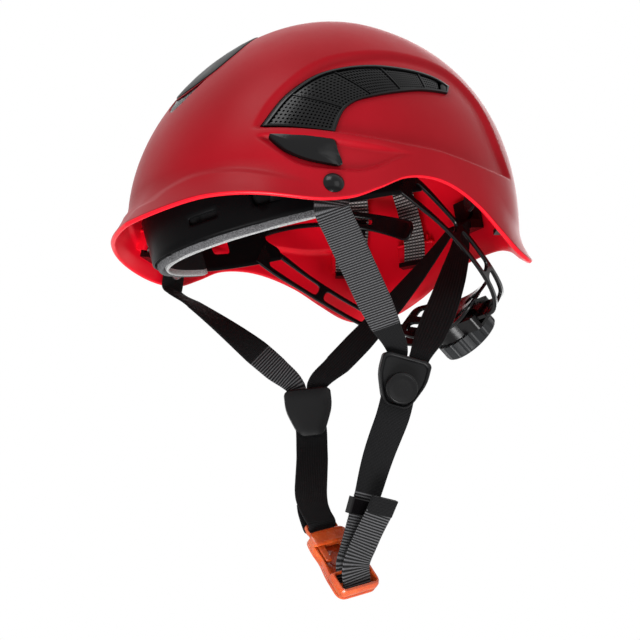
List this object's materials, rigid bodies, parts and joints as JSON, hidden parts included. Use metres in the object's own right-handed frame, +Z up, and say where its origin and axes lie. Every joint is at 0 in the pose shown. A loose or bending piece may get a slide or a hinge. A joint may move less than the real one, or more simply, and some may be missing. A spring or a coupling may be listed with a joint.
{
  "type": "climbing helmet",
  "caption": "Vented hard-shell climbing helmet with brow band, geared nape size adjuster, crown webbing and a chin strap with side dividers and a push-release buckle.",
  "frame": {"origin": "head reference point on the middle plane at ear level, inside the headband; the front rim is 34 mm above it", "axes": "+X the wearer's left, -Y forward, +Z up towards the crown"},
  "size_m": [0.212, 0.2672, 0.364],
  "materials": {
    "shell_red": "satin moulded red shell with a brighter red inner face",
    "trim_black": "black satin moulding",
    "badge_grey": "dark grey satin lens",
    "rivet_black": "rivet cap painted satin black",
    "bright_steel": "plain bright steel",
    "harness_black": "black flexible plastic, semi-gloss",
    "gear_grey": "grey low-friction plastic",
    "knob_grey": "dark grey textured grip",
    "button_black": "satin black",
    "crown_webbing": "dark grey mesh webbing",
    "chin_webbing": "black cross-ribbed polyester webbing",
    "brow_foam": "grey speckled closed-cell foam",
    "pad_lining": "grey speckled brushed fabric",
    "buckle_orange": "translucent glossy orange"
  },
  "bodies": {
    "frame": {"brow_pad": "brow_foam", "brow_pad_lining": "pad_lining", "buckle_tongue": "harness_black", "crown_strap_left": "crown_webbing", "crown_strap_right": "crown_webbing", "detent_spring": "bright_steel", "front_badge": "badge_grey", "headband": "harness_black", "headband_hangers": "harness_black", "left_divider": "harness_black", "left_front_strap": "chin_webbing", "left_lower_strap": "chin_webbing", "left_rear_arm": "harness_black", "left_rear_strap": "chin_webbing", "left_rivet_washer": "bright_steel", "left_side_plate": "trim_black", "left_strap_rivet": "rivet_black", "left_upper_arm": "harness_black", "left_vent_grille": "trim_black", "nape_cradle": "harness_black", "ratchet_housing": "harness_black", "rear_anchor": "harness_black", "rear_anchor_rivet": "rivet_black", "rear_crown_strap_left": "crown_webbing", "rear_crown_strap_right": "crown_webbing", "right_divider": "harness_black", "right_front_strap": "chin_webbing", "right_lower_strap": "chin_webbing", "right_rear_arm": "harness_black", "right_rear_strap": "chin_webbing", "right_rivet_washer": "bright_steel", "right_side_plate": "trim_black", "right_strap_rivet": "rivet_black", "right_upper_arm": "harness_black", "right_vent_grille": "trim_black", "scoop_mesh": "trim_black", "shell": "shell_red", "suspension_keys": "harness_black"},
    "knob": {"size_knob": "knob_grey", "pinion": "gear_grey", "knob_screw": "bright_steel"},
    "left_rack": {"left_rack": "harness_black"},
    "right_rack": {"right_rack": "harness_black"},
    "left_button": {"left_divider_button": "button_black"},
    "right_button": {"right_divider_button": "button_black"},
    "buckle": {"buckle_body": "buckle_orange", "strap_loop": "chin_webbing", "strap_tail": "chin_webbing"},
    "buckle_button": {"buckle_button": "buckle_orange"},
    "keeper": {"strap_keeper": "harness_black"}
  },
  "joints": [
    {"name": "knob_turn", "type": "hinge", "parent": "frame", "child": "knob", "pos_m": [0, 0.104, 0.019], "axis": [0, 0.788, -0.6157], "range_deg": [0, 200]},
    {"name": "left_rack_slide", "type": "slide", "parent": "frame", "child": "left_rack", "axis": [-1, 0, 0], "range_m": [0, 0.014]},
    {"name": "right_rack_slide", "type": "slide", "parent": "frame", "child": "right_rack", "axis": [1, 0, 0], "range_m": [0, 0.014]},
    {"name": "left_button_press", "type": "slide", "parent": "frame", "child": "left_button", "axis": [-0.8841, 0.4219, 0.2009], "range_m": [0, 0.0015], "stiffness_N_per_m": 400, "springref_m": -0.0005},
    {"name": "right_button_press", "type": "slide", "parent": "frame", "child": "right_button", "axis": [0.8529, -0.5077, -0.1218], "range_m": [0, 0.0015], "stiffness_N_per_m": 400, "springref_m": -0.0005},
    {"name": "buckle_release", "type": "slide", "parent": "frame", "child": "buckle", "axis": [0.5125, 0.2412, -0.8241], "range_m": [0, 0.022]},
    {"name": "buckle_button_press", "type": "slide", "parent": "buckle", "child": "buckle_button", "axis": [0.8586, -0.1544, 0.4888], "range_m": [0, 0.0015], "stiffness_N_per_m": 400, "springref_m": -0.0005},
    {"name": "keeper_slide", "type": "slide", "parent": "buckle", "child": "keeper", "axis": [-0.3227, -0.0977, -0.9414], "range_m": [0, 0.018]}
  ],
  "couplings": [
    {"joint": "left_rack_slide", "follows": "knob_turn", "m_per_rad": 0.004},
    {"joint": "right_rack_slide", "follows": "knob_turn", "m_per_rad": 0.004}
  ]
}
